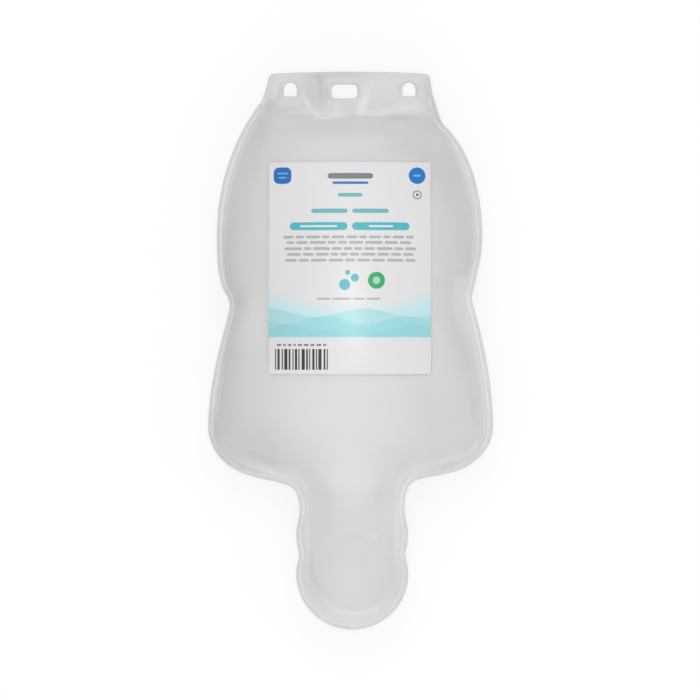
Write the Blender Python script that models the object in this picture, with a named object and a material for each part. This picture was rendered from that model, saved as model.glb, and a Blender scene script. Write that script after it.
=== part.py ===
import math
from collections import namedtuple

import bpy
import numpy
from mathutils import Vector
from mathutils.geometry import delaunay_2d_cdt, interpolate_bezier

# Hand soap refill pack, in metres, +Z up: a sealed pouch of liquid soap, blown as one piece, with a label
# on its front.
# The pouch lies on its back. X runs across it, Y from the round end up to the header, and Z through its
# thickness.

# Widths between the outer edges of the weld
headerWidth = 0.0768
headerFootWidth = 0.0812
shoulderWidth = 0.1257
waistWidth = 0.1144
bellyWidth = 0.1348
bellyFootWidth = 0.0999
neckWidth = 0.0494
chamberWidth = 0.0530
neckWaistWidth = 0.0501
endDiameter = 0.0532

# Heights above the lowest point of the round end
packLength = 0.2640
headerFootHeight = 0.2508
creaseHeight = 0.2390
shoulderHeight = 0.1853
waistHeight = 0.1534
bellyHeight = 0.0949
bellyFootHeight = 0.0736
neckHeight = 0.0559
chamberHeight = 0.0463
neckWaistHeight = 0.0350

# How far the middle of each stretch lies off the centre line, and how much higher the right side's turns sit
headerShift = -0.0006
headerFootShift = -0.0011
shoulderShift = -0.0005
neckShift = 0.0007
endShift = 0.0008
waistRise = 0.0035
footRise = 0.0014
creaseReach = 0.0439

# The weld, the header plate and the upper edge of the filled body
weldWidth = 0.0045
sheetThickness = 0.0012
headerDepth = 0.0210
headerCornerRadius = 0.0024
headerBow = 0.0009
bodyCornerDrop = 0.0020

# How far the walls stand off the weld, and the depth at which the back meets what it lies on
frontCrown = 0.0325
backCrown = 0.0325
restDepth = 0.0170
restBlend = 0.0050
wallFullness = 0.74

# The round end's pressed face
faceDiameter = 0.0380
faceDepth = 0.0010
faceStep = 0.0018
faceLift = 0.0020

# The three hanging holes in the header. The slot's middle lies lower than the peg holes' by its drop.
slotWidth = 0.0122
slotHeight = 0.0066
slotCornerRadius = 0.0018
slotShift = -0.0029
slotDrop = 0.0010
pegHoleWidth = 0.0063
pegHoleHeight = 0.0066
pegHoleFootRadius = 0.0008
pegHoleSpacing = 0.0561
pegHoleShift = -0.0005
holeDrop = 0.0051

# The front label
labelWidth = 0.0758
labelHeight = 0.0994
labelCornerRadius = 0.0016
labelShift = -0.0004
labelTopHeight = 0.2204
labelThickness = 0.0003
labelGap = 0.0003

# Spacing of the mesh's points along edges and over the body, and how far inside the weld its extra rows lie
edgeStep = 0.0033
innerStep = 0.0041
firstRow = 0.0009
secondRow = 0.0027

seamHeight = restDepth + sheetThickness / 2

# A turn of the outline: its place, its heading in degrees, and its curve handles as shares of the way to the
# next turn
Knot = namedtuple("Knot", "x y heading before after")


def clearScene():
    for item in list(bpy.data.objects):
        bpy.data.objects.remove(item, do_unlink=True)


def material(name, colour, roughness):
    made = bpy.data.materials.new(name)
    made.use_nodes = True
    shader = made.node_tree.nodes["Principled BSDF"]
    shader.inputs["Base Color"].default_value = (*colour, 1)
    shader.inputs["Roughness"].default_value = roughness
    return made


# The left side from the header's corner down to the round end. Headings are in degrees from +X.
def leftKnots():
    down = -90
    cornerHeight = packLength - headerBow - headerCornerRadius
    return [
        Knot(headerShift - headerWidth / 2, cornerHeight, down - 2, 0.39, 0.30),
        Knot(headerFootShift - headerFootWidth / 2, headerFootHeight, down - 18, 0.20, 0.03),
        Knot(shoulderShift - shoulderWidth / 2, shoulderHeight, down, 0.60, 0.90),
        Knot(-waistWidth / 2, waistHeight, down, 0.22, 0.10),
        Knot(-bellyWidth / 2, bellyHeight, down, 0.45, 0.10),
        Knot(-bellyFootWidth / 2, bellyFootHeight, down + 71, 0.60, 0.57),
        Knot(neckShift - neckWidth / 2, neckHeight, down, 0.53, 0.17),
        Knot(neckShift - chamberWidth / 2, chamberHeight, down, 0.16, 0.58),
        Knot(endShift - neckWaistWidth / 2, neckWaistHeight, down, 0.15, 0.30),
        Knot(endShift - endDiameter / 2, endDiameter / 2, down, 0.60, 0.39),
    ]


# The right side from the round end up to the header's corner, with the crease where its shoulder starts
def rightKnots():
    up = 90
    cornerHeight = packLength - headerBow - headerCornerRadius
    return [
        Knot(endShift + endDiameter / 2, endDiameter / 2, up, 0.39, 0.60),
        Knot(endShift + neckWaistWidth / 2, neckWaistHeight, up, 0.18, 0.43),
        Knot(neckShift + chamberWidth / 2, chamberHeight, up, 0.75, 0.13),
        Knot(neckShift + neckWidth / 2, neckHeight + footRise, up, 0.20, 0.59),
        Knot(bellyFootWidth / 2, bellyFootHeight + footRise, up - 73, 0.59, 0.42),
        Knot(bellyWidth / 2, bellyHeight, up, 0.26, 0.49),
        Knot(waistWidth / 2, waistHeight + waistRise, up, 0.03, 0.05),
        Knot(shoulderShift + shoulderWidth / 2, shoulderHeight, up, 0.35, 0.69),
        Knot(creaseReach, creaseHeight, up + 38, 0.03, 0.45),
        Knot(headerFootShift + headerFootWidth / 2, headerFootHeight, up + 24, 0.90, 0.20),
        Knot(headerShift + headerWidth / 2, cornerHeight, up + 2, 0.30, 0.39),
    ]


def direction(degrees):
    return Vector((math.cos(math.radians(degrees)), math.sin(math.radians(degrees))))


def headingOf(step):
    return math.degrees(math.atan2(step.y, step.x))


# Points along a curve through the knots, without the last knot's own
def curveThrough(knots):
    points = []
    for start, end in zip(knots, knots[1:]):
        here, there = Vector((start.x, start.y)), Vector((end.x, end.y))
        reach = (there - here).length
        leaving = here + direction(start.heading) * reach * start.after
        arriving = there - direction(end.heading) * reach * end.before
        steps = max(2, math.ceil(reach / edgeStep))
        curve = interpolate_bezier(here, leaving, arriving, there, steps + 1)
        points.extend(point.to_2d() for point in curve[:-1])
    return points


# The outer edge of the weld, anticlockwise from the middle of the header's top
def packOutline():
    cornerReach = headerWidth / 2 - headerCornerRadius
    cornerTop = packLength - headerBow
    topMiddle = Knot(headerShift, packLength, 180, 0.33, 0.33)
    topLeft = Knot(headerShift - cornerReach, cornerTop, 183, 0.33, 0.39)
    topRight = Knot(headerShift + cornerReach, cornerTop, 177, 0.39, 0.33)
    lowest = Knot(endShift, 0, 0, 0.39, 0.39)
    return curveThrough([topMiddle, topLeft, *leftKnots(), lowest, *rightKnots(), topRight, topMiddle])


# The anticlockwise loop moved inwards, which is to its left
def insetLoop(loop, distance):
    moved = []
    for index, here in enumerate(loop):
        before = (here - loop[index - 1]).normalized()
        after = (loop[(index + 1) % len(loop)] - here).normalized()
        along = (before + after).normalized()
        inwards = Vector((-along.y, along.x))
        moved.append(here + inwards * distance / max(0.5, along.dot(after)))
    return moved


# The inner edge of the weld: the outline set in by the weld's width, with rounded corners and a flat top
# below the header
def bodyOutline(outline):
    bodyTop = packLength - headerDepth
    sides = [point for point in insetLoop(outline, weldWidth) if point.y < bodyTop - bodyCornerDrop]
    first = max(range(len(sides)), key=lambda index: (sides[index] - sides[index - 1]).length)
    sides = sides[first:] + sides[:first]
    left = Knot(*sides[0], headingOf(sides[1] - sides[0]), 0.17, 0)
    right = Knot(*sides[-1], headingOf(sides[-1] - sides[-2]), 0, 0.17)
    middle = Knot(headerShift, bodyTop, 180, 0.78, 0.78)
    return sides[1:] + curveThrough([right, middle, left])


def arcPoints(centre, radius, start, end, steps):
    return [centre + direction(start + (end - start) * step / steps) * radius for step in range(steps + 1)]


def circle(centre, radius, steps):
    return arcPoints(centre, radius, 0, 360, steps)[:-1]


def roundedRectangle(centre, width, height, radius, steps):
    corners = []
    for turn, (x, y) in enumerate(((1, 1), (-1, 1), (-1, -1), (1, -1))):
        middle = centre + Vector((x * (width / 2 - radius), y * (height / 2 - radius)))
        corners.extend(arcPoints(middle, radius, 90 * turn, 90 * turn + 90, steps))
    return corners


# A hanging hole with a round top and a flat foot whose corners are rounded
def pegHole(x):
    radius = pegHoleWidth / 2
    top = packLength - holeDrop
    dome = arcPoints(Vector((x, top - radius)), radius, 0, 180, 10)
    reach = radius - pegHoleFootRadius
    cornerHeight = top - pegHoleHeight + pegHoleFootRadius
    leftFoot = arcPoints(Vector((x - reach, cornerHeight)), pegHoleFootRadius, 180, 270, 3)
    rightFoot = arcPoints(Vector((x + reach, cornerHeight)), pegHoleFootRadius, 270, 360, 3)
    return dome + leftFoot + rightFoot


def headerHoles():
    slotMiddle = packLength - holeDrop - pegHoleHeight / 2 - slotDrop
    return [
        roundedRectangle(Vector((slotShift, slotMiddle)), slotWidth, slotHeight, slotCornerRadius, 4),
        pegHole(pegHoleShift - pegHoleSpacing / 2),
        pegHole(pegHoleShift + pegHoleSpacing / 2),
    ]


# The loop with points added along its long sides
def divided(loop, step):
    points = []
    for here, there in zip(loop, loop[1:] + loop[:1]):
        count = max(1, round((there - here).length / step))
        points.extend(here.lerp(there, part / count) for part in range(count))
    return points


def labelOutline():
    centre = Vector((labelShift, labelTopHeight - labelHeight / 2))
    return divided(roundedRectangle(centre, labelWidth, labelHeight, labelCornerRadius, 3), innerStep)


def faceCentre():
    return Vector((endShift, endDiameter / 2 + faceLift))


def inside(point, loop):
    within = False
    for here, there in zip(loop, loop[1:] + loop[:1]):
        if (here.y > point.y) != (there.y > point.y):
            reach = here.x + (there.x - here.x) * (point.y - here.y) / (there.y - here.y)
            within ^= point.x < reach
    return within


def areInside(points, loop):
    return numpy.array([inside(Vector(point), loop) for point in points])


# Points in rows set half a step apart, over the body, clear of the loops that the mesh follows
def innerPoints(body, loops):
    guides = numpy.array([tuple(point) for loop in loops for point in loop])
    rowStep = innerStep * math.sqrt(3) / 2
    columns = math.ceil(bellyWidth / innerStep / 2)
    points = []
    for row in range(int(packLength / rowStep)):
        for column in range(-columns, columns + 1):
            point = Vector(((column + 0.5 * (row % 2)) * innerStep, row * rowStep))
            nearest = numpy.hypot(*(guides - numpy.array(point)).T).min()
            if nearest > innerStep * 0.6 and inside(point, body):
                points.append(point)
    return points


# The pack's plan as points and triangles, which follow every loop and leave the holes open
def planMesh(outline, body, label):
    faceRings = [circle(faceCentre(), faceDiameter / 2 - drop, 36) for drop in (0, faceStep)]
    bodyRows = [insetLoop(body, row) for row in (firstRow, secondRow)]
    holes = headerHoles()
    bodyLoops = [body, label, *faceRings, *bodyRows]
    points, edges = [], []
    for loop in [outline, *holes, *bodyLoops]:
        first = len(points)
        points.extend(loop)
        edges.extend((first + index, first + (index + 1) % len(loop)) for index in range(len(loop)))
    points.extend(innerPoints(body, bodyLoops))
    places, _, triangles, *_ = delaunay_2d_cdt(points, edges, [], 0, 1e-7)
    places = numpy.array([tuple(place) for place in places])
    triangles = numpy.array(triangles)
    middles = places[triangles].mean(axis=1)
    kept = areInside(middles, outline)
    for hole in holes:
        kept &= ~areInside(middles, hole)
    used, renumbered = numpy.unique(triangles[kept], return_inverse=True)
    return places[used], renumbered.reshape(-1, 3)


# How far a skin held along the weld and pressed evenly from inside stands off it, as a share of its highest
# point. Each triangle pulls its corners together, the pressure pushes them up, and the free points settle in
# balance.
def pillow(plan, triangles, free):
    count = len(plan)
    stiffness = numpy.zeros((count, count))
    load = numpy.zeros(count)
    for corners in triangles:
        places = plan[corners]
        sides = numpy.roll(places, -1, axis=0) - numpy.roll(places, 1, axis=0)
        area = abs(sides[0][0] * sides[1][1] - sides[0][1] * sides[1][0]) / 2
        stiffness[numpy.ix_(corners, corners)] += sides @ sides.T / (4 * area)
        load[corners] += area / 3
    height = numpy.zeros(count)
    height[free] = numpy.linalg.solve(stiffness[numpy.ix_(free, free)], load[free])
    return numpy.clip(height / height.max(), 0, None) ** wallFullness


def smoothStep(value):
    part = numpy.clip(value, 0, 1)
    return part * part * (3 - 2 * part)


# The lesser of the two, rounded over where they are within the blend of each other
def smoothLeast(first, second, blend):
    part = numpy.clip(0.5 + 0.5 * (second - first) / blend, 0, 1)
    return second * (1 - part) + first * part - blend * part * (1 - part)


# How far the front and the back wall stand off the weld at each point of the plan
def wallHeights(plan, triangles, body):
    inBody = areInside(plan[triangles].mean(axis=1), body)
    held = numpy.ones(len(plan), bool)
    held[triangles[inBody]] = False
    held[triangles[~inBody]] = True
    shape = pillow(plan, triangles[inBody], numpy.flatnonzero(~held))
    fromMiddle = numpy.hypot(*(plan - numpy.array(faceCentre())).T)
    pressed = faceDepth * smoothStep((faceDiameter / 2 - fromMiddle) / faceStep)
    front = frontCrown * shape - pressed
    back = smoothLeast(backCrown * shape, restDepth, restBlend)
    return front, back


# The edges that only one triangle has, each in that triangle's direction
def openEdges(triangles):
    sides = numpy.concatenate([triangles[:, pair] for pair in ([0, 1], [1, 2], [2, 0])])
    edges = {tuple(side) for side in sides}
    return sorted((start, end) for start, end in edges if (end, start) not in edges)


# One closed solid between two layers of the same triangles, walled along their open edges
def closedShell(name, upper, lower, triangles, look):
    count = len(upper)
    faces = [tuple(triangle) for triangle in triangles]
    faces += [tuple(triangle[::-1] + count) for triangle in triangles]
    faces += [(end, start, start + count, end + count) for start, end in openEdges(triangles)]
    mesh = bpy.data.meshes.new(name)
    mesh.from_pydata(numpy.concatenate([upper, lower]), [], faces)
    mesh.shade_smooth()
    mesh.set_sharp_from_angle(angle=math.radians(40))
    mesh.materials.append(look)
    made = bpy.data.objects.new(name, mesh)
    bpy.context.scene.collection.objects.link(made)
    return made


def pointNormals(points, triangles):
    corners = points[triangles]
    faces = numpy.cross(corners[:, 1] - corners[:, 0], corners[:, 2] - corners[:, 0])
    normals = numpy.zeros_like(points)
    for corner in range(3):
        numpy.add.at(normals, triangles[:, corner], faces)
    return normals / numpy.linalg.norm(normals, axis=1, keepdims=True)


# The welded header and rim stay flat between the two walls. The body, neck and round end bulge from them.
def buildPouch(plan, triangles, body):
    front, back = wallHeights(plan, triangles, body)
    flat = plan - (plan.min(axis=0) + plan.max(axis=0)) / 2
    upper = numpy.column_stack([flat, seamHeight + sheetThickness / 2 + front])
    lower = numpy.column_stack([flat, seamHeight - sheetThickness / 2 - back])
    closedShell("pouch", upper, lower, triangles, material("milky film", (0.80, 0.80, 0.79), 0.42))
    return upper


# The label follows the front wall under it, a small gap away.
def buildLabel(plan, triangles, front, label):
    covered = triangles[areInside(plan[triangles].mean(axis=1), label)]
    used, renumbered = numpy.unique(covered, return_inverse=True)
    outwards = pointNormals(front, triangles)[used]
    under = front[used] + outwards * labelGap
    over = under + outwards * labelThickness
    paper = material("label paper", (0.78, 0.80, 0.80), 0.5)
    closedShell("front_label", over, under, renumbered.reshape(-1, 3), paper)


def buildPack():
    outline = packOutline()
    body = bodyOutline(outline)
    label = labelOutline()
    plan, triangles = planMesh(outline, body, label)
    front = buildPouch(plan, triangles, body)
    buildLabel(plan, triangles, front, label)


clearScene()
buildPack()
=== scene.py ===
# Hand soap refill pack: the looks of the milky pouch, its label and the light it lies in. Metres, +Z up.
import math
import random

import bmesh
import bpy
import numpy
from mathutils import Matrix, Vector, noise
from mathutils.bvhtree import BVHTree
from mathutils.kdtree import KDTree


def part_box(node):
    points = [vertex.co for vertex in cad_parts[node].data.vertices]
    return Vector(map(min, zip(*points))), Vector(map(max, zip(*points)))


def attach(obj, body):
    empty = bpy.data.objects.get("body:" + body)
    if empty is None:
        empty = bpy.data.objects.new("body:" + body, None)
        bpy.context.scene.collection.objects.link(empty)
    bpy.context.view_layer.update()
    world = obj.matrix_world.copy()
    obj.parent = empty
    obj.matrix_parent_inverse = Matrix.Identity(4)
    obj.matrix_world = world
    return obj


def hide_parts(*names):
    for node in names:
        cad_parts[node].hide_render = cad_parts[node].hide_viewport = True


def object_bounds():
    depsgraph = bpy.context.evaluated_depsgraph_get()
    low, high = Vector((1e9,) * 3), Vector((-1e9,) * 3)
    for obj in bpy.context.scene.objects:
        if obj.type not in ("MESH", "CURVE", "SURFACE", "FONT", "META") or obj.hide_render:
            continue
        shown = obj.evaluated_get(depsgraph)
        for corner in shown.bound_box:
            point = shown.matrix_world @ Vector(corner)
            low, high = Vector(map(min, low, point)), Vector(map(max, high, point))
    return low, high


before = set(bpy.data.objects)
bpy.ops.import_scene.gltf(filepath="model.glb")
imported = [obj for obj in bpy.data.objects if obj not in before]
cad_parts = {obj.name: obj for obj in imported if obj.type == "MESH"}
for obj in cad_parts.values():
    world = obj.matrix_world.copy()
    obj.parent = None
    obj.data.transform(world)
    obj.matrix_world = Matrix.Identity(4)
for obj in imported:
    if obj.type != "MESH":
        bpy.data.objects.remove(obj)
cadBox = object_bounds()
mm = 0.001
print("frame loaded with", ", ".join(sorted(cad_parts)))


# Materials

def linear(hexColour):
    parts = [int(hexColour[place:place + 2], 16) / 255 for place in (1, 3, 5)]
    return (*[part / 12.92 if part <= 0.04045 else ((part + 0.055) / 1.055) ** 2.4 for part in parts], 1)


def addNode(tree, kind, settings=None, links=None):
    made = tree.nodes.new("ShaderNode" + kind)
    for name, value in (settings or {}).items():
        if isinstance(name, int) or name in made.inputs:
            made.inputs[name].default_value = value
        else:
            setattr(made, name, value)
    for name, source in (links or {}).items():
        tree.links.new(source, made.inputs[name])
    return made


def newMaterial(name):
    made = bpy.data.materials.new(name)
    made.use_nodes = True
    made.node_tree.nodes.clear()
    return made, made.node_tree


def finishMaterial(tree, settings, links):
    shader = addNode(tree, "BsdfPrincipled", settings, links)
    addNode(tree, "OutputMaterial", {}, {"Surface": shader.outputs[0]})


# Object coordinates in metres from the middle of the pack
def centredPlaces(tree):
    lowest, highest = cadBox
    middle = (lowest + highest) / 2
    places = addNode(tree, "TexCoord")
    moved = addNode(tree, "Mapping", {"Location": tuple(-middle)}, {"Vector": places.outputs["Object"]})
    return moved.outputs[0]


# A noise pattern whose lumps are about the given size across
def lumps(tree, places, size, detail=2.0):
    return addNode(tree, "TexNoise", {"Scale": 1 / size, "Detail": detail}, {"Vector": places}).outputs["Fac"]


# A profile across an edge: the height at each distance from it
def profileAcross(tree, attribute, stops, reach):
    gap = addNode(tree, "Attribute", {"attribute_name": attribute}).outputs["Fac"]
    share = addNode(tree, "Math", {"operation": "DIVIDE", 1: reach}, {0: gap})
    ramp = addNode(tree, "ValToRGB", {}, {"Fac": share.outputs[0]})
    ramp.color_ramp.interpolation = "B_SPLINE"
    while len(ramp.color_ramp.elements) < len(stops):
        ramp.color_ramp.elements.new(1)
    for element, (distance, height) in zip(ramp.color_ramp.elements, stops):
        element.position = distance / reach
        element.color = (height, height, height, 1)
    return ramp.outputs["Color"]


film = {
    "filled": "#E2E2E2",
    "weld": "#D8D8D8",
    "index": 1.51,
    "roughness": (0.32, 0.42),
    "scatter": 0.7,
    "scatterReach": 4 * mm,
    # A profile gives the height at each distance from the edge, as a share of the whole height
    "bead": [(0, 0.2), (1.0 * mm, 0.45), (1.6 * mm, 1.0), (2.2 * mm, 0.45), (2.7 * mm, 0.2), (3.4 * mm, 0.5)],
    "beadHeight": 0.34 * mm,
    "beadReach": 4 * mm,
    "holeRim": [(0, 0.3), (0.5 * mm, 0.9), (1.1 * mm, 1.0), (1.8 * mm, 0.35), (2.4 * mm, 0.5)],
    "holeRimHeight": 0.35 * mm,
    "holeRimReach": 3 * mm,
    "cloud": 22 * mm,
    "cloudNoise": (0.3, 0.7),
    "cloudSwing": 0.12,
    "skinStrength": 0.10,
    "peel": 5 * mm,
    "peelHeight": 0.5 * mm,
    "grain": 0.9 * mm,  # the mould's blasted skin is finer, and is drawn as coarse as it needs to show
    "grainHeight": 0.06 * mm,
    "grainDetail": 3.0,
}


# Natural low-density polyethylene, blow-moulded in a blasted mould: milky, waxy and soft, with a broad dull
# sheen. Light sinks in and comes out a few millimetres away, so hollows and creases stay soft. A sharp
# crease whitens the film, and where the two skins are pressed together it is a little darker. Painted light
# and shade lie over that: paler on crests and where light falls, darker in dents, grooves and shaded edges.
def filmMaterial():
    made, tree = newMaterial("milky polyethylene film")
    places = centredPlaces(tree)
    fullness = addNode(tree, "Attribute", {"attribute_name": "fullness"}).outputs["Fac"]
    cloud = lumps(tree, places, film["cloud"])
    lowest, highest = film["cloudNoise"]
    swing = film["cloudSwing"]
    uneven = addNode(
        tree, "MapRange", {"From Min": lowest, "From Max": highest, "To Min": -swing, "To Max": swing},
        {"Value": cloud},
    )
    share = addNode(
        tree, "Math", {"operation": "ADD", "use_clamp": True}, {0: fullness, 1: uneven.outputs[0]},
    )
    plain = addNode(tree, "Mix", {"data_type": "RGBA"}, {"Factor": share.outputs[0]})
    plain.inputs[6].default_value = linear(film["weld"])
    plain.inputs[7].default_value = linear(film["filled"])
    # Painted light and shade, summed with the crease whitening, make the film paler or darker here
    paintedLightShadeAndCreases = addNode(tree, "Attribute", {"attribute_name": "paintedLightShadeAndCreases"}).outputs["Fac"]
    paintedLightAndWhitening = addNode(tree, "Math", {"operation": "ADD", 1: 1.0}, {0: paintedLightShadeAndCreases})
    colour = addNode(tree, "HueSaturation", {}, {"Color": plain.outputs[2], "Value": paintedLightAndWhitening.outputs[0]})
    bead = addNode(
        tree, "Bump", {"Strength": 1.0, "Distance": film["beadHeight"]},
        {"Height": profileAcross(tree, "edgeGap", film["bead"], film["beadReach"])},
    )
    rim = profileAcross(tree, "holeGap", film["holeRim"], film["holeRimReach"])
    holeRim = addNode(
        tree, "Bump", {"Strength": 1.0, "Distance": film["holeRimHeight"]},
        {"Height": rim, "Normal": bead.outputs[0]},
    )
    peel = addNode(
        tree, "Bump", {"Strength": film["skinStrength"], "Distance": film["peelHeight"]},
        {"Height": lumps(tree, places, film["peel"]), "Normal": holeRim.outputs[0]},
    )
    grain = addNode(
        tree, "Bump", {"Strength": film["skinStrength"], "Distance": film["grainHeight"]},
        {"Height": lumps(tree, places, film["grain"], film["grainDetail"]), "Normal": peel.outputs[0]},
    )
    smoothest, roughest = film["roughness"]
    rough = addNode(tree, "MapRange", {"To Min": smoothest, "To Max": roughest}, {"Value": cloud})
    finishMaterial(
        tree,
        {
            "IOR": film["index"], "Subsurface Weight": film["scatter"],
            "Subsurface Scale": film["scatterReach"], "Subsurface Radius": (1.0, 1.0, 1.0),
        },
        {"Base Color": colour.outputs[0], "Roughness": rough.outputs[0], "Normal": grain.outputs[0]},
    )
    return made


paper = {
    "white": "#E9E8E8",
    "strip": "#E7E7E7",
    "tint": "#C6EEF3",
    "fadeTop": 16 * mm,  # below the label's middle
    "fadeFoot": 25 * mm,
    "fadeRise": 5.0,  # how the tint climbs towards the sides, per metre
    "stripTop": 32.85 * mm,
    "fibre": 1.2 * mm,
    "fibreStrength": 0.08,
    "fibreHeight": 0.03 * mm,
    "fibreDetail": 3.0,
    "roughness": 0.38,
    "index": 1.5,
}


# Satin-coated label paper, printed by offset: flat, clean and a little glossier than the film it sits on
def paperMaterial(middle):
    made, tree = newMaterial("satin coated label paper")
    places = addNode(tree, "TexCoord").outputs["Object"]
    split = addNode(tree, "SeparateXYZ", {}, {"Vector": places})
    down = split.outputs["Y"]
    squared = addNode(tree, "Math", {"operation": "POWER", 1: 2.0}, {0: split.outputs["X"]})
    climbed = addNode(
        tree, "Math", {"operation": "MULTIPLY_ADD", 1: -paper["fadeRise"]}, {0: squared.outputs[0], 2: down},
    )
    fade = addNode(
        tree, "MapRange",
        {"From Min": middle.y - paper["fadeTop"], "From Max": middle.y - paper["fadeFoot"]},
        {"Value": climbed.outputs[0]},
    )
    tinted = addNode(tree, "Mix", {"data_type": "RGBA"}, {"Factor": fade.outputs[0]})
    tinted.inputs[6].default_value = linear(paper["white"])
    tinted.inputs[7].default_value = linear(paper["tint"])
    below = addNode(
        tree, "Math", {"operation": "LESS_THAN", 1: middle.y - paper["stripTop"]}, {0: down},
    )
    colour = addNode(tree, "Mix", {"data_type": "RGBA"}, {"Factor": below.outputs[0], 6: tinted.outputs[2]})
    colour.inputs[7].default_value = linear(paper["strip"])
    fibre = addNode(
        tree, "Bump", {"Strength": paper["fibreStrength"], "Distance": paper["fibreHeight"]},
        {"Height": lumps(tree, places, paper["fibre"], paper["fibreDetail"])},
    )
    finishMaterial(
        tree, {"Roughness": paper["roughness"], "IOR": paper["index"]},
        {"Base Color": colour.outputs[2], "Normal": fibre.outputs[0]},
    )
    return made


ink = {
    "soak": 1.5 * mm,
    "soakSwing": 0.04,
    "roughness": 0.36,
    "index": 1.5,
}


# Offset ink on the coating: an even film of colour with the paper's satin, a touch uneven where it soaked in
def inkMaterial(name, hexColour):
    made, tree = newMaterial(name + " printing ink")
    places = addNode(tree, "TexCoord").outputs["Object"]
    soak = addNode(
        tree, "MapRange", {"To Min": 1 - ink["soakSwing"], "To Max": 1 + ink["soakSwing"]},
        {"Value": lumps(tree, places, ink["soak"])},
    )
    colour = addNode(tree, "HueSaturation", {"Color": linear(hexColour)}, {"Value": soak.outputs[0]})
    finishMaterial(
        tree, {"Roughness": ink["roughness"], "IOR": ink["index"]},
        {"Base Color": colour.outputs[0]},
    )
    return made


# Pieces

shaping = {
    "merge": 0.001 * mm,
    "flatAngle": math.radians(30),
    "squareAngle": math.radians(50),
    "sharpAngle": math.radians(35),
    "wallTilt": 0.02,  # a cut wall's normal points up or down by less than this
    "roundSteps": 2,
}


def copyOfNode(name):
    shape = bmesh.new()
    shape.from_mesh(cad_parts[name].data)
    bmesh.ops.remove_doubles(shape, verts=shape.verts, dist=shaping["merge"])
    return shape


def isWall(face):
    return abs(face.normal.z) < shaping["wallTilt"]


# Triangles become quads where they can, and the cut edges are rounded, so that subdivision flows over them
def prepared(name, rounding):
    shape = copyOfNode(name)
    shape.normal_update()
    bmesh.ops.join_triangles(
        shape, faces=shape.faces, angle_face_threshold=shaping["flatAngle"],
        angle_shape_threshold=shaping["squareAngle"],
    )
    shape.normal_update()
    cut = [edge for edge in shape.edges if len({isWall(face) for face in edge.link_faces}) == 2]
    bmesh.ops.bevel(
        shape, geom=cut, offset=rounding, offset_type="OFFSET", segments=shaping["roundSteps"],
        profile=0.5, affect="EDGES", material=-1, clamp_overlap=True,
    )
    return shape


def newObject(name, shape, look):
    mesh = bpy.data.meshes.new(name)
    shape.to_mesh(mesh)
    shape.free()
    mesh.materials.append(look)
    made = bpy.data.objects.new(name, mesh)
    bpy.context.scene.collection.objects.link(made)
    return made


# The object with its subdivision worked in, so that its points can be moved one by one
def subdivided(made, levels):
    smooth = made.modifiers.new("smooth", "SUBSURF")
    smooth.levels = smooth.render_levels = levels
    graph = bpy.context.evaluated_depsgraph_get()
    rough = made.data
    made.data = bpy.data.meshes.new_from_object(made.evaluated_get(graph))
    made.modifiers.clear()
    bpy.data.meshes.remove(rough)
    made.data.name = made.name
    return made


def placesOf(mesh):
    places = numpy.zeros(len(mesh.vertices) * 3)
    mesh.vertices.foreach_get("co", places)
    return places.reshape(-1, 3)


def setPlaces(mesh, places):
    mesh.vertices.foreach_set("co", places.ravel())
    mesh.update()


# A number for each point, which the materials read as an attribute
def setShare(mesh, name, values):
    attribute = mesh.attributes.new(name, "FLOAT", "POINT")
    attribute.data.foreach_set("value", values.astype(numpy.float32))


def finishPiece(made, replaced=None):
    made.data.shade_smooth()
    made.data.set_sharp_from_angle(angle=shaping["sharpAngle"])
    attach(made, "root")
    if replaced:
        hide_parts(replaced)
    print(made.name, "has", len(made.data.polygons), "faces")
    return made


def smoothStep(value):
    part = numpy.clip(value, 0, 1)
    return part * part * (3 - 2 * part)


pouch = {
    "rounding": 0.42 * mm,
    "seam": 17.6 * mm,
    "sheet": 1.2 * mm,
    "fullAt": 5 * mm,  # how far off the weld a wall counts as filled
    "deepAt": 28 * mm,
    "fullShare": 0.45,  # what being filled adds to the film's colour, the rest comes with depth
    "levels": 2,
    "rimStep": 0.25 * mm,
    "valley": (2.6 * mm, 9 * mm),  # where the weld turns up into the wall, from the outline inwards
    "valleyRounds": 24,  # how often that turn is smoothed
    "valleyPull": 0.5,
    "slackValley": (2.6 * mm, 14 * mm),
    "slackRounds": 60,  # and how often again below the header and in the neck, where it is slacker
    "headerFoot": (97 * mm, 113 * mm),
    "headerBlend": 4 * mm,
    "neckTop": -60 * mm,
    "holesReach": (34 * mm, 112 * mm, 129 * mm),  # half width, lowest and highest place of the hanging holes
}


# Sets each point's distance in plan from the nearest of the given edges as an attribute
def setGap(mesh, name, places, lines):
    spots = []
    for start, end in lines:
        count = max(1, round((end - start).length / pouch["rimStep"]))
        spots.extend(start.lerp(end, part / count) for part in range(count))
    nearest = KDTree(len(spots))
    for index, spot in enumerate(spots):
        nearest.insert((spot.x, spot.y, 0), index)
    nearest.balance()
    gaps = numpy.array([nearest.find((x, y, 0))[2] for x, y, _ in places])
    setShare(mesh, name, gaps)
    return gaps


# The cut edges of the film's front: the pack's outline, and the rims of its holes
def filmEdges():
    shape = copyOfNode("pouch")
    shape.normal_update()
    halfWidth, lowest, highest = pouch["holesReach"]
    outline, holes = [], []
    for edge in shape.edges:
        places = [vert.co.copy() for vert in edge.verts]
        isCut = len({isWall(face) for face in edge.link_faces}) == 2
        if min(place.z for place in places) < pouch["seam"] or not isCut:
            continue
        middle = (places[0] + places[1]) / 2
        inHoles = abs(middle.x) < halfWidth and lowest < middle.y < highest
        (holes if inHoles else outline).append(places)
    shape.free()
    return outline, holes


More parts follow.
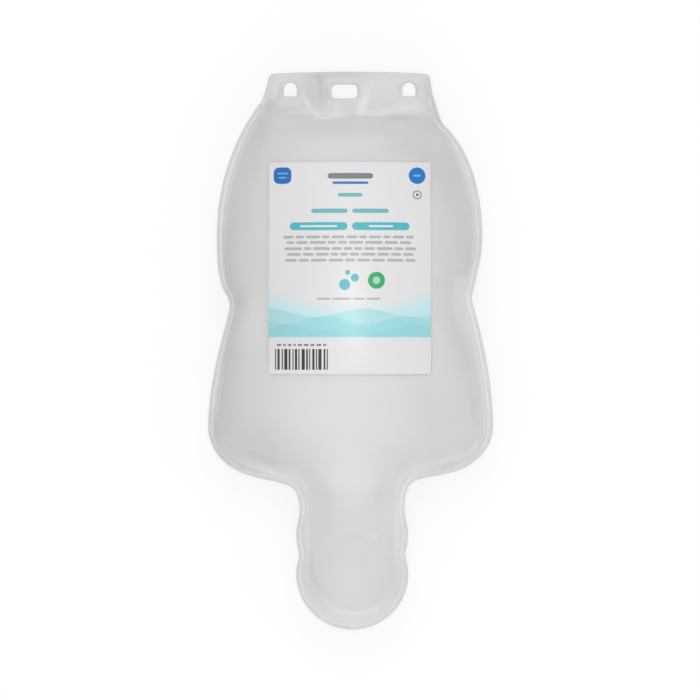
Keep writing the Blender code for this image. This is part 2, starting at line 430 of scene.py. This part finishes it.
# Rounds the turn between the flat weld and the wall that rises from it
def softenValley(made, gaps):
    shape = bmesh.new()
    shape.from_mesh(made.data)
    shape.verts.ensure_lookup_table()
    band, wide = [
        [shape.verts[index] for index in numpy.flatnonzero((gaps > nearest) & (gaps < farthest))]
        for nearest, farthest in (pouch["valley"], pouch["slackValley"])
    ]
    lowest, highest = pouch["headerFoot"]
    slack = [vert for vert in wide if vert.co.y < pouch["neckTop"] or lowest < vert.co.y < highest]
    for step in range(pouch["valleyRounds"] + pouch["slackRounds"]):
        moved = band if step < pouch["valleyRounds"] else slack
        bmesh.ops.smooth_vert(
            shape, verts=moved, factor=pouch["valleyPull"],
            use_axis_x=True, use_axis_y=True, use_axis_z=True,
        )
    shape.to_mesh(made.data)
    shape.free()


# The size across of each noise, its height in millimetres, and by how many millimetres the whole sinks
unevenness = {
    "wide": (26 * mm, 0.28),
    "small": (11 * mm, 0.07),
    "sunk": 0.05,
}


# Slow unevenness of the filled walls, alike for the film and for the label on it
def drift(places):
    wideSize, wideHeight = unevenness["wide"]
    smallSize, smallHeight = unevenness["small"]
    lifts = []
    for x, y, _ in places:
        place = Vector((x, y, 0))
        wide = noise.noise(place / wideSize) * wideHeight
        small = noise.noise(place / smallSize) * smallHeight
        lifts.append((wide + small - unevenness["sunk"]) * mm)
    return numpy.array(lifts)


# A smooth curve through points given in millimetres
def curveThrough(points, steps=12):
    points = [Vector(point) * mm for point in points]
    ends = [points[0] * 2 - points[1], *points, points[-1] * 2 - points[-2]]
    made = []
    for before, here, there, after in zip(ends, ends[1:], ends[2:], ends[3:]):
        for step in range(steps):
            t = step / steps
            made.append(
                0.5 * (2 * here + (there - before) * t + (2 * before - 5 * here + 4 * there - after) * t * t
                       + (3 * here - before - 3 * there + after) * t ** 3)
            )
    return numpy.array([tuple(point) for point in made + [points[-1]]])


# Folds and ridges, in millimetres across and up from the pack's middle: path, half width at its start and
# end, height, and how much whiter the crease is drawn, partly the film's own whitening at a sharp crease and
# partly painted highlight, which is less than 0 for painted shade in a dent, groove or hollow
folds = {
    "dent left of the slot": ([(-20.0, 138), (-16.6, 125), (-14.6, 112)], (6.5, 1.8), -1.5, -0.06),
    "pinch in the dent": ([(-18.0, 136), (-15.6, 127), (-14.2, 117)], (2.2, 1.2), -0.4, -0.05),
    "crest beside the dent": ([(-23.0, 121), (-19.0, 115.5), (-14.4, 110.8)], (1.2, 1.1), 0.5, 0.11),
    "header foot, left": (
        [(-17.5, 111.4), (-13.5, 110.2), (-8.5, 110.6), (-1.5, 111.6)], (1.1, 1.1), 0.6, 0.19,
    ),
    "rib below the slot": ([(-6.4, 118), (-6.8, 112.5)], (1.5, 1.5), 0.3, 0.07),
    "crest right of the slot": ([(6.6, 126.5), (7.2, 120.5), (6.7, 116)], (1.1, 1.7), 0.5, 0.15),
    "knuckle below the crest": ([(6.4, 120), (5.0, 115.5), (4.4, 110.5)], (1.6, 2.0), 0.4, 0.20),
    "knuckle right of the slot": ([(9.2, 126.8), (11.2, 124.4)], (1.2, 1.2), 0.3, 0.08),
    "header foot, middle": ([(7.0, 112.2), (14, 112.6), (21.0, 113.2)], (2.0, 2.0), 0.5, 0.09),
    "header foot, right": ([(17.5, 115.2), (27, 115.2), (37, 115.2)], (2.6, 2.6), 0.7, 0.07),
    "groove below the foot": ([(14.5, 109.4), (22, 109.8), (37.5, 110.4)], (1.4, 1.4), -0.2, -0.05),
    "top of the filling": (
        [(-40, 101), (-18, 102.5), (0, 103), (18, 102.5), (40, 101)], (6.5, 6.5), 1.7, 0.0,
    ),
    "left header foot": ([(-34, 115), (-28, 114.8), (-21, 114.3)], (1.2, 1.2), -0.3, -0.03),
    "left header corner": ([(-38.8, 121), (-40.6, 113)], (2.2, 2.2), -0.5, -0.04),
    "right shoulder crease": (
        [(38.3, 129), (39.6, 115.5), (42.4, 109), (45.8, 105.4)], (0.8, 0.8), -0.4, -0.06,
    ),
    "right shoulder crest": ([(36.4, 129), (37.9, 115.0), (40.6, 108.3), (43.6, 104)], (0.7, 0.7), 0.3, 0.04),
    "right waist": ([(53.5, 37), (51.4, 28), (52.0, 18), (56.0, 5)], (3.4, 3.4), 0.6, 0.165),
    "right waist tuck": ([(50, 37.5), (57, 37.2)], (1.5, 1.5), -0.4, -0.04),
    "lower left rim": ([(-57.5, -50.5), (-46, -54.4), (-37, -57.4), (-24, -61.2)], (1.3, 2.4), 0.5, 0.12),
    "above the lower left rim": (
        [(-52, -47.5), (-44, -49.4), (-38.5, -52.2), (-29, -54.4)], (1.6, 1.6), -0.4, -0.05,
    ),
    "slack lower left": ([(-59, -26), (-55, -39), (-45, -46), (-32, -51)], (8.0, 8.0), -0.5, -0.075),
    "end of the slack": ([(-45.5, -32), (-38.0, -41), (-30.5, -53)], (2.2, 2.2), 0.25, -0.01),
    "lower right rim": ([(60.8, -42.8), (56.7, -48.8), (42.5, -53.0), (27, -58.5)], (1.3, 2.2), 0.5, 0.10),
    "lower right knuckle": ([(60.8, -42.6), (57.4, -46.6)], (1.3, 1.3), 0.3, 0.09),
    "right wall tuck": ([(58.6, -22), (58.0, -29), (59.5, -34)], (1.5, 1.5), -0.4, -0.06),
    "neck rim, left": ([(-22.3, -62), (-21.0, -75), (-20.8, -88), (-20.4, -99)], (1.6, 1.6), 0.25, 0.07),
    "neck rim, right": ([(23.4, -60), (22.4, -75), (22.2, -88), (21.8, -99)], (1.8, 1.8), 0.25, 0.07),
    "round end, top": (
        [(-13.5, -87.5), (-5, -84.6), (4, -84.2), (11.5, -87.0), (17.5, -91.5)], (1.0, 1.0), 0.16, 0.015,
    ),
    "upper right weld": ([(47, 101), (55.5, 86), (60.3, 70), (61.5, 54)], (2.2, 2.2), 0.3, 0.06),
    "upper right tuck": ([(49.5, 86), (52.0, 79)], (1.6, 1.6), -0.4, -0.04),
    "round end, foot": (
        [(-13.5, -117.5), (-6.0, -122.8), (3.0, -124.1), (12.5, -121.8), (18.5, -116.4)],
        (1.3, 1.3), 0.4, 0.07,
    ),
    "round end, left": ([(-18.5, -99), (-18.0, -107), (-13.0, -115)], (1.6, 1.6), -0.4, -0.06),
    "round end, right": ([(17.5, -98), (20.0, -105), (19.0, -113)], (1.4, 1.4), -0.3, -0.03),
}


# Painted light and shade on the milky film: strokes that make it paler where light falls or shines through
# and darker where shade falls, in millimetres as above: path, half width, and how much paler, which is less
# than 0 for painted shade
paintedLightAndShade = {
    "neck wall, left": ([(-21, -60), (-17.8, -71), (-17.2, -90)], 4.0, 0.05),
    "neck wall, right": ([(22, -57), (18.6, -70), (18.6, -88)], 4.5, 0.06),
    "neck corner, left": ([(-32, -55), (-25, -62), (-21.5, -69), (-20.9, -79)], 3.2, 0.13),
    "neck corner, right": ([(36, -51.5), (27.5, -58.5), (23.8, -66), (23.4, -84)], 3.2, 0.125),
    "neck foot, left": ([(-21.2, -80), (-20.6, -96), (-19.8, -112)], 2.6, 0.06),
    "neck foot, right": ([(23.2, -84), (22.8, -98), (23.0, -112)], 2.6, 0.055),
    "neck middle": ([(0, -72), (2, -88), (2, -104)], 9.5, -0.04),
    "round end rim": (
        [(-19.9, -113.4), (-14.2, -121.8), (0.9, -127.5), (16, -121.8), (21.7, -111.4)], 3.0, 0.055,
    ),
    "left waist": ([(-46, 29), (-48, 15), (-49, -3)], 7.5, 0.125),
    "left waist edge": ([(-61.2, 56), (-58.4, 32), (-55.2, 21.4), (-57.5, 9.6), (-61.2, -10)], 1.8, -0.18),
    "lower left edge": ([(-64.8, -28), (-63.4, -44.5), (-57.2, -52.4), (-41, -58.6)], 2.0, -0.18),
    "right wall foot": ([(53.8, 36), (55.4, 15), (59.3, -4), (61.9, -22), (61.8, -42)], 2.8, 0.125),
    "right shoulder foot": ([(49.6, 95), (53.4, 83), (56.4, 70), (58.2, 50)], 2.8, 0.07),
    "right shoulder": ([(14, 96), (26, 95), (38, 90), (44, 76), (45, 36)], 6.0, -0.075),
    "right shoulder, top": ([(9, 90), (22, 96.5), (37, 107)], 5.0, -0.03),
    "left shoulder foot": ([(-46.5, 103), (-54.8, 84), (-59, 58)], 3.6, 0.06),
    "left shoulder": ([(-44, 106), (-46, 80)], 5.0, -0.03),
    "header foot, left": ([(-43, 114.4), (-31, 116.2), (-22.0, 115.4)], 4.2, -0.10),
    "header edge, left": ([(-35.0, 130), (-36.0, 118), (-40.6, 108), (-42, 99)], 3.0, -0.08),
    "header edge, right": ([(34.2, 130), (36.8, 118.4), (40.0, 107.5)], 2.6, -0.13),
    "header": ([(-40, 122), (40, 122)], 8.0, -0.04),
    "header top edge": ([(-17, 130.6), (-4, 130.8), (9, 130.6)], 2.6, -0.10),
    "below the slot": ([(-38, 110), (-15, 111), (0, 110), (22, 109.6)], 3.6, 0.10),
    "middle of the front": ([(-20, -14), (-9, -38), (2, -64)], 14.0, 0.025),
    "neck root": ([(-30, -52), (-12, -59.5), (9, -61.5), (27, -55)], 6.0, 0.042),
    "lower right of the front": ([(28, -14), (46, -40)], 11.0, -0.045),
    "lower right edge": ([(63.2, -40), (57, -50), (45, -55.5), (34, -58.5)], 2.0, -0.07),
    "upper right edge": ([(42, 107), (50, 98), (57, 82.5), (60.8, 60), (59.4, 37)], 1.8, -0.09),
    "lower left of the front": ([(-45, -27), (-32, -46)], 8.0, -0.035),
    "left of the label": ([(-46, 78), (-46.5, 34)], 6.0, 0.01),
}


foldEnd = 0.02  # the share of a path at each end over which a fold fades no further


# How much of the fold each point takes, from its distance in plan to the fold's path
def foldedBy(plan, path, widths):
    curve = curveThrough(path)
    gaps = plan[:, None, :] - curve[None, :, :]
    squared = (gaps ** 2).sum(axis=2)
    nearest = squared.argmin(axis=1)
    along = nearest / (len(curve) - 1)
    inner = numpy.clip(along, foldEnd, 1 - foldEnd)
    taper = numpy.sqrt(numpy.clip(numpy.sin(math.pi * inner), 0, 1))
    width = (widths[0] + (widths[1] - widths[0]) * along) * mm
    return numpy.exp(-squared[numpy.arange(len(plan)), nearest] / width ** 2) * taper


# How far each point stands off the weld's sheet, in front of it or behind it
def offWeld(places):
    return abs(places[:, 2] - pouch["seam"]) - pouch["sheet"] / 2


def buildPouch(look):
    made = newObject("pouch_skin", prepared("pouch", pouch["rounding"]), look)
    subdivided(made, pouch["levels"])
    outline, holes = filmEdges()
    places = placesOf(made.data)
    gaps = setGap(made.data, "edgeGap", places, outline)
    setGap(made.data, "holeGap", places, holes)
    softenValley(made, gaps)
    places = placesOf(made.data)
    fullness = smoothStep(offWeld(places) / pouch["fullAt"])
    front = places[:, 2] > pouch["seam"]
    taking = numpy.maximum(front, smoothStep((places[:, 1] - pouch["headerFoot"][1]) / pouch["headerBlend"]))
    lift = drift(places) * fullness * front
    paintedLightShadeAndCreases = numpy.zeros(len(places))
    # Each fold lifts the film and adds its crease tone, partly whitening and partly painted highlight and
    # shade
    for path, widths, height, whiter in folds.values():
        fold = foldedBy(places[:, :2], path, widths) * taking
        lift += fold * height * mm
        paintedLightShadeAndCreases += fold * whiter
    # Strokes of painted light and shade, paler where light falls and darker where shade falls
    for path, width, whiter in paintedLightAndShade.values():
        paintedLightShadeAndCreases += foldedBy(places[:, :2], path, (width, width)) * taking * whiter
    places[:, 2] += lift
    setPlaces(made.data, places)
    depth = numpy.clip(offWeld(places) / pouch["deepAt"], 0, 1)
    setShare(made.data, "fullness", pouch["fullShare"] * fullness + (1 - pouch["fullShare"]) * depth)
    setShare(made.data, "paintedLightShadeAndCreases", paintedLightShadeAndCreases)
    return finishPiece(made, "pouch")


# Label

label = {
    "rounding": 0.08 * mm,
    "levels": 2,
    "inkLift": 0.03 * mm,
    "inkThickness": 0.012 * mm,
    "inkStep": 0.03 * mm,
    "cut": 2.4 * mm,
    "reach": (40 * mm, 52 * mm),  # the print is cut within this from the label's middle, to follow its bulge
    "drop": 50 * mm,  # from how far above the label the print is dropped onto it
    "nearness": 0.986,  # print sizes are as seen at the weld, and the label lies nearer the eye
}
labelLow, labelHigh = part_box("front_label")
labelMiddle = (labelLow + labelHigh) / 2


def buildLabel(look):
    made = newObject("label_sheet", prepared("front_label", label["rounding"]), look)
    subdivided(made, label["levels"])
    places = placesOf(made.data)
    places[:, 2] += drift(places)
    setPlaces(made.data, places)
    return finishPiece(made, "front_label")


flatPrint = {
    "barSteps": 20,
    "discSteps": 40,
    "waveSteps": (60, 4),
    "waveMargin": 0.45,
    "nought": 1e-7,
}


# A bar with rounded ends or corners, its middle and size in millimetres from the label's middle
def addBar(shape, x, y, width, height, radius=None):
    radius = min(width, height) / 2 if radius is None else radius
    made = bmesh.ops.create_circle(shape, cap_ends=True, segments=flatPrint["barSteps"], radius=radius * mm)
    for vert in made["verts"]:
        across = math.copysign(width / 2 - radius, vert.co.x) if abs(vert.co.x) > flatPrint["nought"] else 0
        along = math.copysign(height / 2 - radius, vert.co.y) if abs(vert.co.y) > flatPrint["nought"] else 0
        vert.co += Vector((x + across, y + along, 0)) * mm


def addDisc(shape, x, y, diameter):
    bmesh.ops.create_circle(
        shape, cap_ends=True, segments=flatPrint["discSteps"], radius=diameter / 2 * mm,
        matrix=Matrix.Translation((x * mm, y * mm, 0)),
    )


# A band of colour across the label whose upper edge is a wave, in millimetres from the label's middle
def addWave(shape, foot, height, swing, length, shift):
    half = ((labelHigh.x - labelLow.x) / 2 / mm - flatPrint["waveMargin"]) / label["nearness"]
    across, up = flatPrint["waveSteps"]
    verts = bmesh.ops.create_grid(shape, x_segments=across, y_segments=up, size=1)["verts"]
    for vert in verts:
        x = vert.co.x * half
        top = height + swing * math.sin(2 * math.pi * (x / length + shift))
        vert.co = Vector((x, foot + (top - foot) * (vert.co.y + 1) / 2, 0)) * mm


lengths = random.Random(7)  # of the bars in the rows


# A row of short bars of uneven length
def addRow(shape, y, left, right, height, shortest, longest, gap):
    x = left
    while x < right - shortest:
        width = min(lengths.uniform(shortest, longest), right - x)
        addBar(shape, x + width / 2, y, width, height)
        x += width + gap


# Upright bars in a plain rhythm of widths and gaps
def addRhythm(shape, left, y, height, count, widths, gaps, radius):
    x = left
    for index in range(count):
        width = widths[index % len(widths)]
        addBar(shape, x + width / 2, y, width, height, radius)
        x += width + gaps[index % len(gaps)]


# Drops flat print onto the label's front and gives it its thickness
def printOn(surface, name, shape, look, layer):
    for axis, reach in enumerate(label["reach"]):
        count = int(2 * reach / label["cut"])
        for step in range(1, count):
            place = [0, 0, 0]
            place[axis] = -reach + step * label["cut"]
            facing = [0, 0, 0]
            facing[axis] = 1
            bmesh.ops.bisect_plane(
                shape, geom=shape.verts[:] + shape.edges[:] + shape.faces[:], dist=flatPrint["nought"],
                plane_co=place, plane_no=facing,
            )
    start = Vector((*labelMiddle.xy, labelHigh.z + label["drop"]))
    for vert in shape.verts:
        above = Vector((vert.co.x, vert.co.y, 0)) * label["nearness"] + start
        place, normal, _, _ = surface.ray_cast(above, Vector((0, 0, -1)))
        vert.co = place + normal * (label["inkLift"] + layer * label["inkStep"])
    bmesh.ops.recalc_face_normals(shape, faces=shape.faces)
    if sum(face.normal.z for face in shape.faces) < 0:
        bmesh.ops.reverse_faces(shape, faces=shape.faces)
    bmesh.ops.solidify(shape, geom=shape.faces[:], thickness=-label["inkThickness"])
    bmesh.ops.recalc_face_normals(shape, faces=shape.faces)
    return finishPiece(newObject(name, shape, look))


inks = {
    "deep blue": "#136DBE",
    "blue": "#0E75CA",
    "pale blue": "#7DB4E3",
    "slate": "#747E85",
    "grey": "#B4B8BA",
    "teal": "#6FB9C2",
    "sea teal": "#4FBAC7",
    "mist": "#B2E3E8",
    "shallow sea": "#A2DFE4",
    "deep sea": "#9ADADF",
    "green": "#2FAA6E",
    "pale green": "#A5DDBF",
    "black": "#2B2C2E",
    "white": "#EDF0F0",
}
waveFoot = -32.75
smallRows = [(14.4, 0.0), (11.8, 1.6), (8.9, 0.6), (6.2, 1.9), (3.4, 0.9)]  # how high, and how far in
smallEnds = (-31.5, 32)

# Ink, layer, and what is drawn with which sizes, in millimetres from the label's middle
prints = {
    "print_wave_far": ("mist", 0, [(addWave, waveFoot, -21.5, 2.0, 46, 0.10)]),
    "print_wave_middle": ("shallow sea", 1, [(addWave, waveFoot, -25.0, 1.8, 38, 0.55)]),
    "print_wave_near": ("deep sea", 2, [(addWave, waveFoot, -28.6, 1.5, 30, 0.25)]),
    "print_badge_left": ("deep blue", 0, [(addBar, -31.9, 43.8, 8.5, 8.0, 2.7)]),
    "print_badge_right": ("blue", 0, [(addDisc, 32.0, 43.8, 8.0)]),
    "print_badge_lines": ("pale blue", 1, [
        (addBar, -31.9, 44.8, 5.0, 0.7), (addBar, -31.9, 42.8, 3.6, 0.7), (addBar, 32.0, 43.8, 3.8, 0.9),
    ]),
    "print_emblem": ("slate", 0, [(addDisc, 32.0, 34.6, 4.2)]),
    "print_emblem_field": ("white", 1, [(addDisc, 32.0, 34.6, 3.2)]),
    "print_emblem_dot": ("slate", 2, [(addDisc, 32.0, 34.6, 1.5)]),
    "print_title": ("slate", 0, [(addBar, 0.3, 43.5, 21.5, 2.8)]),
    "print_title_line": ("deep blue", 0, [(addBar, 0.3, 40.2, 17.0, 1.2)]),
    "print_subtitle": ("teal", 0, [(addBar, 0.2, 34.4, 11.6, 1.8)]),
    "print_heading": ("teal", 0, [(addBar, -9.6, 26.8, 17.2, 2.1), (addBar, 9.8, 26.8, 17.2, 2.1)]),
    "print_pills": ("sea teal", 0, [(addBar, -14.7, 19.5, 27.2, 3.8), (addBar, 14.7, 19.5, 27.2, 3.8)]),
    "print_pill_lines": ("white", 1, [(addBar, -14.7, 19.5, 17.5, 0.9), (addBar, 14.7, 19.5, 11.5, 0.9)]),
    "print_small_lines": ("grey", 0, [
        (addRow, y, smallEnds[0] + inset, smallEnds[1] - inset, 1.3, 3.2, 8.5, 0.95)
        for y, inset in smallRows
    ]),
    "print_bubbles": ("sea teal", 0, [
        (addDisc, -2.4, -8.1, 5.2), (addDisc, 2.4, -4.9, 3.8), (addDisc, -1.0, -2.4, 2.4),
    ]),
    "print_green_dot": ("green", 0, [(addDisc, 12.6, -6.1, 8.0)]),
    "print_green_ring": ("pale green", 1, [(addDisc, 12.6, -6.1, 3.6)]),
    "print_foot_line": ("grey", 0, [(addRow, -14.8, -15.5, 15.5, 0.9, 5, 9, 0.95)]),
    "print_bars": ("black", 0, [
        (addRhythm, -35.3, -43.4, 9.8, 16, (0.5, 1.05, 0.55, 1.5, 0.8), (0.6, 1.0, 0.65), 0.04),
    ]),
    "print_bar_marks": ("slate", 0, [(addRow, -36.6, -34.6, -11, 0.9, 1.2, 2.6, 0.8)]),
}


def buildPrint(surface):
    looks = {name: inkMaterial(name, colour) for name, colour in inks.items()}
    for name, (inkName, layer, drawn) in prints.items():
        shape = bmesh.new()
        for draw, *sizes in drawn:
            draw(shape, *sizes)
        printOn(surface, name, shape, looks[inkName], layer)


# Scene

def surfaceOf(made):
    shape = bmesh.new()
    shape.from_mesh(made.data)
    tree = BVHTree.FromBMesh(shape)
    shape.free()
    return tree


studio = {
    "floorColour": "#8C8C8C",
    "floorGlow": 0.755,
    "floorBounce": 0.16,
    "floorReach": 2.0,
    "floorSteps": 8,
    "sky": 0.50,
    "lens": 200,
    "sensor": 36,
    "sight": 10,
    "frameWidth": 331.1 * mm,  # what the picture spans at the weld's height
    "aim": (-0.28 * mm, 0.37 * mm),
}


# 1 for what the camera sees, straight, in a reflection or through a clear thing, and 0 for what only lights
def seenByCamera(tree):
    path = addNode(tree, "LightPath")
    seen = path.outputs["Is Camera Ray"]
    for kind in ("Is Glossy Ray", "Is Transmission Ray"):
        either = addNode(tree, "Math", {"operation": "MAXIMUM"}, {0: seen, 1: path.outputs[kind]})
        seen = either.outputs[0]
    return seen


# Matt white card: it takes the pack's shadow, shows as plain white beside it, and throws a little light up
def cardMaterial():
    made, tree = newMaterial("matt white card")
    card = addNode(tree, "BsdfDiffuse", {"Color": linear(studio["floorColour"])})
    strength = addNode(
        tree, "MapRange", {"To Min": studio["floorBounce"], "To Max": studio["floorGlow"]},
        {"Value": seenByCamera(tree)},
    )
    glow = addNode(tree, "Emission", {}, {"Strength": strength.outputs[0]})
    both = addNode(tree, "AddShader", {}, {0: card.outputs[0], 1: glow.outputs[0]})
    addNode(tree, "OutputMaterial", {}, {"Surface": both.outputs[0]})
    return made


def buildFloor():
    shape = bmesh.new()
    steps = studio["floorSteps"]
    bmesh.ops.create_grid(shape, x_segments=steps, y_segments=steps, size=studio["floorReach"])
    floor = newObject("floor", shape, cardMaterial())
    print("floor laid")


def buildSky():
    world = bpy.data.worlds.new("studio")
    bpy.context.scene.world = world
    world.use_nodes = True
    tree = world.node_tree
    tree.nodes.clear()
    seen = seenByCamera(tree)
    strength = addNode(tree, "MapRange", {"To Min": studio["sky"], "To Max": 1.0}, {"Value": seen})
    sky = addNode(tree, "Background", {}, {"Strength": strength.outputs[0]})
    sky.inputs["Color"].default_value = (1, 1, 1, 1)
    addNode(tree, "OutputWorld", {}, {"Surface": sky.outputs[0]})
    print("sky lit")


lamps = {
    "low foot": {"place": (0.0, -1.85, 0.85), "size": 1.7, "power": 9.4},
    "head": {"place": (0.0, 1.30, 1.50), "size": 1.2, "power": 6.9},
    "low right": {"place": (1.90, 0.0, 0.70), "size": 1.0, "power": 1.5},
    "top": {"place": (0.0, 0.0, 2.30), "size": 0.6, "power": 12.4},
}


def buildLamps():
    for name, lamp in lamps.items():
        data = bpy.data.lights.new(name, "AREA")
        data.shape = "SQUARE"
        data.size = lamp["size"]
        data.energy = lamp["power"]
        made = bpy.data.objects.new(name, data)
        made.location = lamp["place"]
        made.rotation_euler = Vector(lamp["place"]).to_track_quat("Z", "Y").to_euler()
        bpy.context.scene.collection.objects.link(made)
    print(len(lamps), "lamps hung")


def buildCamera():
    data = bpy.data.cameras.new("camera")
    data.lens = studio["lens"]
    data.sensor_width = studio["sensor"]
    data.clip_end = studio["sight"]
    made = bpy.data.objects.new("camera", data)
    away = studio["frameWidth"] * studio["lens"] / studio["sensor"]
    made.location = (*studio["aim"], pouch["seam"] + away)
    bpy.context.scene.collection.objects.link(made)
    bpy.context.scene.camera = made
    bpy.context.scene.view_settings.view_transform = "Standard"
    print("camera set", round(made.location.z, 3), "m above the floor")


buildCamera()
buildFloor()
buildSky()
buildLamps()
buildPouch(filmMaterial())
labelSheet = buildLabel(paperMaterial(labelMiddle))
buildPrint(surfaceOf(labelSheet))
